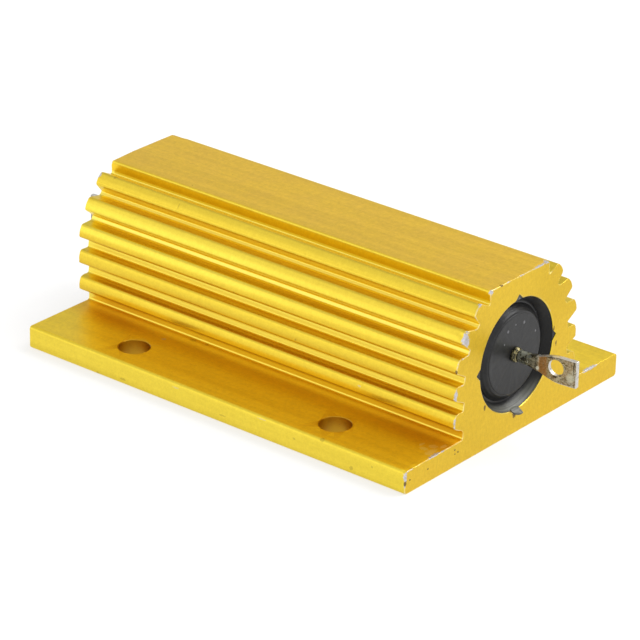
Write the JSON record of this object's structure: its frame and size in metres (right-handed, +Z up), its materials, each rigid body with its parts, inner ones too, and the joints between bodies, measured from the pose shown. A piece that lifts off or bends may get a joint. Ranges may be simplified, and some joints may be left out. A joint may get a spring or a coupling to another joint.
{
  "type": "chassis mount resistor",
  "caption": "Finned aluminium housing on a drilled mounting flange, moulded round a wire-wound resistance element, with a flattened solder lug standing out of each end.",
  "frame": {"origin": "centre of the housing's base face", "axes": "+X along the housing towards its near end, +Y across the flange, +Z up from the base"},
  "size_m": [0.0838, 0.0462, 0.0226],
  "materials": {
    "anodised_aluminium": "gold anodised extrusion, satin, worn bare at edges",
    "silicone": "black moulded silicone, satin",
    "tinned_terminal": "dull tin plating, stained",
    "cap_steel": "pressed steel, satin",
    "ceramic": "unglazed, matt",
    "resistance_ribbon": "rolled resistance alloy, satin"
  },
  "bodies": {
    "root": {"housing": "anodised_aluminium", "moulding": "silicone", "terminal_near": "tinned_terminal", "terminal_far": "tinned_terminal", "cap_near": "cap_steel", "cap_far": "cap_steel", "core": "ceramic", "winding": "resistance_ribbon"}
  },
  "joints": []
}
